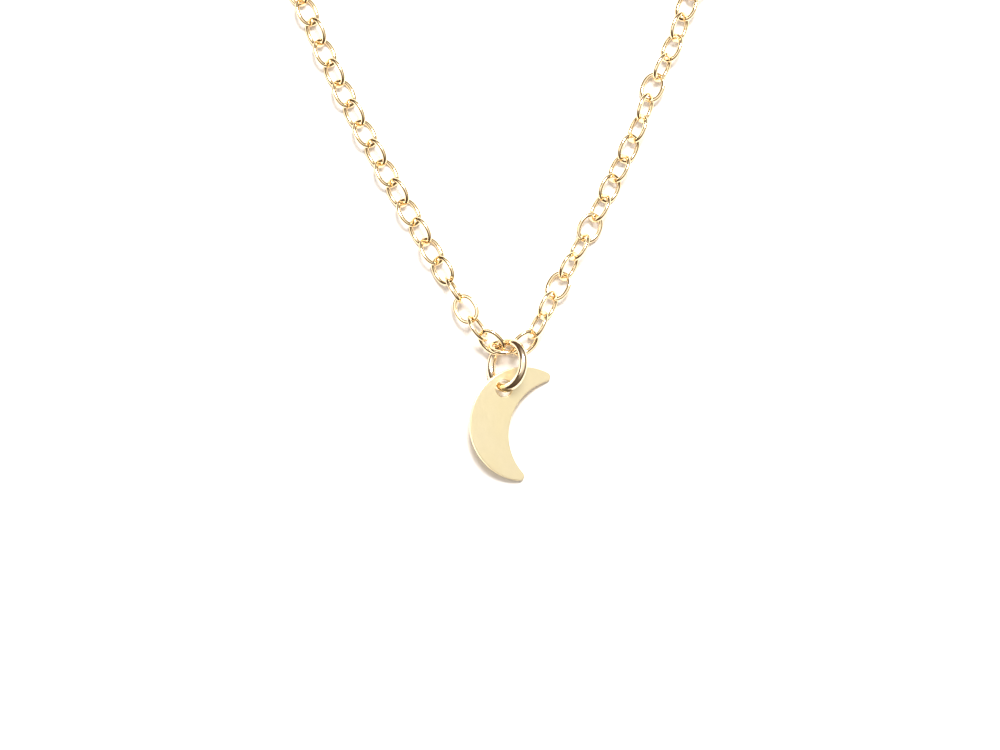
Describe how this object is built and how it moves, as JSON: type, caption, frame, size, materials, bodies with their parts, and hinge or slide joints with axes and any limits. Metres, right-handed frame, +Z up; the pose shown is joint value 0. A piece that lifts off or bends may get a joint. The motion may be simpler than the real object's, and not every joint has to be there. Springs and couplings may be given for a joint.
{
  "type": "pendant necklace",
  "caption": "Fine oval-link chain with a flat crescent charm on a heavy jump ring, lying open in a V, its far ends folded away, with a spring-ring clasp.",
  "frame": {"origin": "on the surface that the necklace lies on, under the middle of the box round the charm and the open part of the chain", "axes": "+Z up from the surface, +Y from the charm towards the open side of the V, where the chain's ends are"},
  "size_m": [0.0481, 0.0854, 0.0038],
  "materials": {
    "chain_gold": "polished pale yellow gold",
    "ring_gold": "high polish",
    "crescent_satin": "fine satin on flat faces, polished edge",
    "clasp_gold": "polished",
    "spring_steel": "drawn wire"
  },
  "bodies": {
    "centre_link": {"centre_link": "chain_gold"},
    "clasp": {"clasp_body": "clasp_gold", "clasp_spring": "spring_steel"},
    "clasp_bolt": {"clasp_bolt": "clasp_gold"},
    "clasp_jump_ring": {"clasp_jump_ring": "chain_gold"},
    "crescent": {"crescent": "crescent_satin"},
    "end_ring": {"end_ring": "chain_gold"},
    "jump_ring": {"jump_ring": "ring_gold"},
    "left_link_18": {"left_chain_folds": "chain_gold", "left_link_18": "chain_gold"},
    "left_link_01": {"left_link_01": "chain_gold"},
    "left_link_02": {"left_link_02": "chain_gold"},
    "left_link_03": {"left_link_03": "chain_gold"},
    "left_link_04": {"left_link_04": "chain_gold"},
    "left_link_05": {"left_link_05": "chain_gold"},
    "left_link_06": {"left_link_06": "chain_gold"},
    "left_link_07": {"left_link_07": "chain_gold"},
    "left_link_08": {"left_link_08": "chain_gold"},
    "left_link_09": {"left_link_09": "chain_gold"},
    "left_link_10": {"left_link_10": "chain_gold"},
    "left_link_11": {"left_link_11": "chain_gold"},
    "left_link_12": {"left_link_12": "chain_gold"},
    "left_link_13": {"left_link_13": "chain_gold"},
    "left_link_14": {"left_link_14": "chain_gold"},
    "left_link_15": {"left_link_15": "chain_gold"},
    "left_link_16": {"left_link_16": "chain_gold"},
    "left_link_17": {"left_link_17": "chain_gold"},
    "right_link_18": {"right_chain_folds": "chain_gold", "right_link_18": "chain_gold"},
    "right_link_01": {"right_link_01": "chain_gold"},
    "right_link_02": {"right_link_02": "chain_gold"},
    "right_link_03": {"right_link_03": "chain_gold"},
    "right_link_04": {"right_link_04": "chain_gold"},
    "right_link_05": {"right_link_05": "chain_gold"},
    "right_link_06": {"right_link_06": "chain_gold"},
    "right_link_07": {"right_link_07": "chain_gold"},
    "right_link_08": {"right_link_08": "chain_gold"},
    "right_link_09": {"right_link_09": "chain_gold"},
    "right_link_10": {"right_link_10": "chain_gold"},
    "right_link_11": {"right_link_11": "chain_gold"},
    "right_link_12": {"right_link_12": "chain_gold"},
    "right_link_13": {"right_link_13": "chain_gold"},
    "right_link_14": {"right_link_14": "chain_gold"},
    "right_link_15": {"right_link_15": "chain_gold"},
    "right_link_16": {"right_link_16": "chain_gold"},
    "right_link_17": {"right_link_17": "chain_gold"}
  },
  "joints": [
    {"name": "clasp_bolt_slide", "type": "hinge", "parent": "clasp", "child": "clasp_bolt", "pos_m": [-0.00729, 0.02583, 0.00075], "axis": [0, -0.0698, 0.9976], "range_deg": [0, 50], "stiffness_Nm_per_rad": 0.0002, "springref_deg": -9.74, "deforming": ["clasp_spring"]},
    {"name": "clasp_ring_swing", "type": "hinge", "parent": "left_link_18", "child": "clasp_jump_ring", "pos_m": [-0.00729, 0.03131, 0.0012], "axis": [-1, 0, 0], "range_deg": [-30, 30]},
    {"name": "clasp_swing", "type": "hinge", "parent": "clasp_jump_ring", "child": "clasp", "pos_m": [-0.00729, 0.02932, 0.00099], "axis": [0, -0.0698, 0.9976], "range_deg": [-20, 30]},
    {"name": "crescent_swing", "type": "hinge", "parent": "jump_ring", "child": "crescent", "pos_m": [0.00048, -0.01403, 0.00161], "axis": [0.6582, -0.2633, 0.7053], "range_deg": [-40, 40]},
    {"name": "end_ring_swing", "type": "hinge", "parent": "right_link_18", "child": "end_ring", "pos_m": [0.00751, 0.02751, 0.00105], "axis": [1, 0, 0], "range_deg": [-40, 40]},
    {"name": "jump_ring_swing", "type": "hinge", "parent": "centre_link", "child": "jump_ring", "pos_m": [0.00041, -0.01013, 0.00117], "axis": [0.6946, -0.0121, 0.7193], "range_deg": [-20, 20]},
    {"name": "left_01_swing", "type": "hinge", "parent": "centre_link", "child": "left_link_01", "pos_m": [0.00016, -0.01046, 0.00176], "axis": [-0.3341, -0.6034, 0.7241], "range_deg": [-13, 40]},
    {"name": "left_02_swing", "type": "hinge", "parent": "left_link_01", "child": "left_link_02", "pos_m": [-0.00122, -0.0093, 0.00172], "axis": [-0.7412, -0.4802, -0.4692], "range_deg": [-45, 30]},
    {"name": "left_03_swing", "type": "hinge", "parent": "left_link_02", "child": "left_link_03", "pos_m": [-0.00237, -0.00757, 0.00159], "axis": [0.3465, 0.0851, -0.9342], "range_deg": [-45, 45]},
    {"name": "left_04_swing", "type": "hinge", "parent": "left_link_03", "child": "left_link_04", "pos_m": [-0.00341, -0.00579, 0.00138], "axis": [0.8264, 0.509, 0.2408], "range_deg": [-45, 45]},
    {"name": "left_05_swing", "type": "hinge", "parent": "left_link_04", "child": "left_link_05", "pos_m": [-0.00446, -0.004, 0.00118], "axis": [-0.6144, -0.2745, 0.7397], "range_deg": [-45, 45]},
    {"name": "left_06_swing", "type": "hinge", "parent": "left_link_05", "child": "left_link_06", "pos_m": [-0.0055, -0.00221, 0.00094], "axis": [-0.4753, -0.3237, -0.8181], "range_deg": [-45, 45]},
    {"name": "left_07_swing", "type": "hinge", "parent": "left_link_06", "child": "left_link_07", "pos_m": [-0.00654, -0.00042, 0.00092], "axis": [0.6461, 0.3436, -0.6815], "range_deg": [-45, 45]},
    {"name": "left_08_swing", "type": "hinge", "parent": "left_link_07", "child": "left_link_08", "pos_m": [-0.00757, 0.00137, 0.00074], "axis": [0.4967, 0.2868, 0.8191], "range_deg": [-45, 45]},
    {"name": "left_09_swing", "type": "hinge", "parent": "left_link_08", "child": "left_link_09", "pos_m": [-0.0086, 0.00317, 0.00088], "axis": [-0.628, -0.3508, 0.6947], "range_deg": [-45, 45]},
    {"name": "left_10_swing", "type": "hinge", "parent": "left_link_09", "child": "left_link_10", "pos_m": [-0.00961, 0.00497, 0.00072], "axis": [-0.4912, -0.2673, -0.829], "range_deg": [-45, 45]},
    {"name": "left_11_swing", "type": "hinge", "parent": "left_link_10", "child": "left_link_11", "pos_m": [-0.01062, 0.00678, 0.0009], "axis": [0.6509, 0.3586, -0.6691], "range_deg": [-45, 45]},
    {"name": "left_12_swing", "type": "hinge", "parent": "left_link_11", "child": "left_link_12", "pos_m": [-0.01161, 0.0086, 0.00074], "axis": [0.5046, 0.2727, 0.8191], "range_deg": [-45, 45]},
    {"name": "left_13_swing", "type": "hinge", "parent": "left_link_12", "child": "left_link_13", "pos_m": [-0.01259, 0.01042, 0.00089], "axis": [-0.6508, -0.3337, 0.682], "range_deg": [-45, 45]},
    {"name": "left_14_swing", "type": "hinge", "parent": "left_link_13", "child": "left_link_14", "pos_m": [-0.01354, 0.01226, 0.00072], "axis": [-0.5026, -0.2452, -0.829], "range_deg": [-45, 45]},
    {"name": "left_15_swing", "type": "hinge", "parent": "left_link_14", "child": "left_link_15", "pos_m": [-0.01445, 0.01412, 0.0009], "axis": [0.6703, 0.3208, -0.6691], "range_deg": [-45, 45]},
    {"name": "left_16_swing", "type": "hinge", "parent": "left_link_15", "child": "left_link_16", "pos_m": [-0.01533, 0.016, 0.00076], "axis": [0.5351, 0.2433, 0.809], "range_deg": [-45, 45]},
    {"name": "left_17_swing", "type": "hinge", "parent": "left_link_16", "child": "left_link_17", "pos_m": [-0.01617, 0.01789, 0.0009], "axis": [-0.6743, -0.2832, 0.682], "range_deg": [-45, 45]},
    {"name": "left_18_swing", "type": "hinge", "parent": "left_link_17", "child": "left_link_18", "pos_m": [-0.01698, 0.01979, 0.00076], "axis": [-0.5036, -0.2454, -0.8284], "range_deg": [-45, 45]},
    {"name": "right_01_swing", "type": "hinge", "parent": "centre_link", "child": "right_link_01", "pos_m": [0.00197, -0.01036, 0.00091], "axis": [0.4177, -0.5563, 0.7184], "range_deg": [-35, 20]},
    {"name": "right_02_swing", "type": "hinge", "parent": "right_link_01", "child": "right_link_02", "pos_m": [0.00341, -0.00895, 0.00104], "axis": [0.774, -0.3885, -0.5], "range_deg": [-45, 45]},
    {"name": "right_03_swing", "type": "hinge", "parent": "right_link_02", "child": "right_link_03", "pos_m": [0.00433, -0.00715, 0.00104], "axis": [-0.7596, 0.3569, -0.5438], "range_deg": [-45, 45]},
    {"name": "right_04_swing", "type": "hinge", "parent": "right_link_03", "child": "right_link_04", "pos_m": [0.00525, -0.00536, 0.00082], "axis": [-0.3052, 0.1544, 0.9397], "range_deg": [-45, 45]},
    {"name": "right_05_swing", "type": "hinge", "parent": "right_link_04", "child": "right_link_05", "pos_m": [0.0062, -0.00357, 0.00099], "axis": [0.752, -0.4301, 0.4995], "range_deg": [-45, 45]},
    {"name": "right_06_swing", "type": "hinge", "parent": "right_link_05", "child": "right_link_06", "pos_m": [0.00716, -0.0018, 0.00105], "axis": [0.7341, -0.4255, -0.5292], "range_deg": [-45, 45]},
    {"name": "right_07_swing", "type": "hinge", "parent": "right_link_06", "child": "right_link_07", "pos_m": [0.00812, -0.00002, 0.00082], "axis": [-0.3092, 0.1468, -0.9396], "range_deg": [-45, 45]},
    {"name": "right_08_swing", "type": "hinge", "parent": "right_link_07", "child": "right_link_08", "pos_m": [0.00905, 0.00177, 0.00094], "axis": [-0.7055, 0.3511, 0.6156], "range_deg": [-45, 45]},
    {"name": "right_09_swing", "type": "hinge", "parent": "right_link_08", "child": "right_link_09", "pos_m": [0.00996, 0.00358, 0.00085], "axis": [0.607, -0.2819, 0.743], "range_deg": [-45, 45]},
    {"name": "right_10_swing", "type": "hinge", "parent": "right_link_09", "child": "right_link_10", "pos_m": [0.01084, 0.0054, 0.00088], "axis": [0.652, -0.3038, -0.6946], "range_deg": [-45, 45]},
    {"name": "right_11_swing", "type": "hinge", "parent": "right_link_10", "child": "right_link_11", "pos_m": [0.0117, 0.00722, 0.00084], "axis": [-0.6269, 0.2995, -0.7192], "range_deg": [-45, 45]},
    {"name": "right_12_swing", "type": "hinge", "parent": "right_link_11", "child": "right_link_12", "pos_m": [0.01256, 0.00905, 0.00091], "axis": [-0.739, 0.2748, 0.6152], "range_deg": [-45, 45]},
    {"name": "right_13_swing", "type": "hinge", "parent": "right_link_12", "child": "right_link_13", "pos_m": [0.01328, 0.01094, 0.00104], "axis": [0.8182, -0.2843, 0.4998], "range_deg": [-45, 45]},
    {"name": "right_14_swing", "type": "hinge", "parent": "right_link_13", "child": "right_link_14", "pos_m": [0.01393, 0.01285, 0.00083], "axis": [0.3164, -0.1299, -0.9397], "range_deg": [-45, 45]},
    {"name": "right_15_swing", "type": "hinge", "parent": "right_link_14", "child": "right_link_15", "pos_m": [0.01479, 0.01468, 0.00103], "axis": [-0.7952, 0.3837, -0.4695], "range_deg": [-45, 45]},
    {"name": "right_16_swing", "type": "hinge", "parent": "right_link_15", "child": "right_link_16", "pos_m": [0.01568, 0.01649, 0.00087], "axis": [-0.6352, 0.2814, 0.7192], "range_deg": [-45, 45]},
    {"name": "right_17_swing", "type": "hinge", "parent": "right_link_16", "child": "right_link_17", "pos_m": [0.01643, 0.01837, 0.00098], "axis": [0.7661, -0.2603, 0.5876], "range_deg": [-45, 45]},
    {"name": "right_18_swing", "type": "hinge", "parent": "right_link_17", "child": "right_link_18", "pos_m": [0.01709, 0.02028, 0.00081], "axis": [0.5435, -0.2274, -0.808], "range_deg": [-45, 45]}
  ]
}
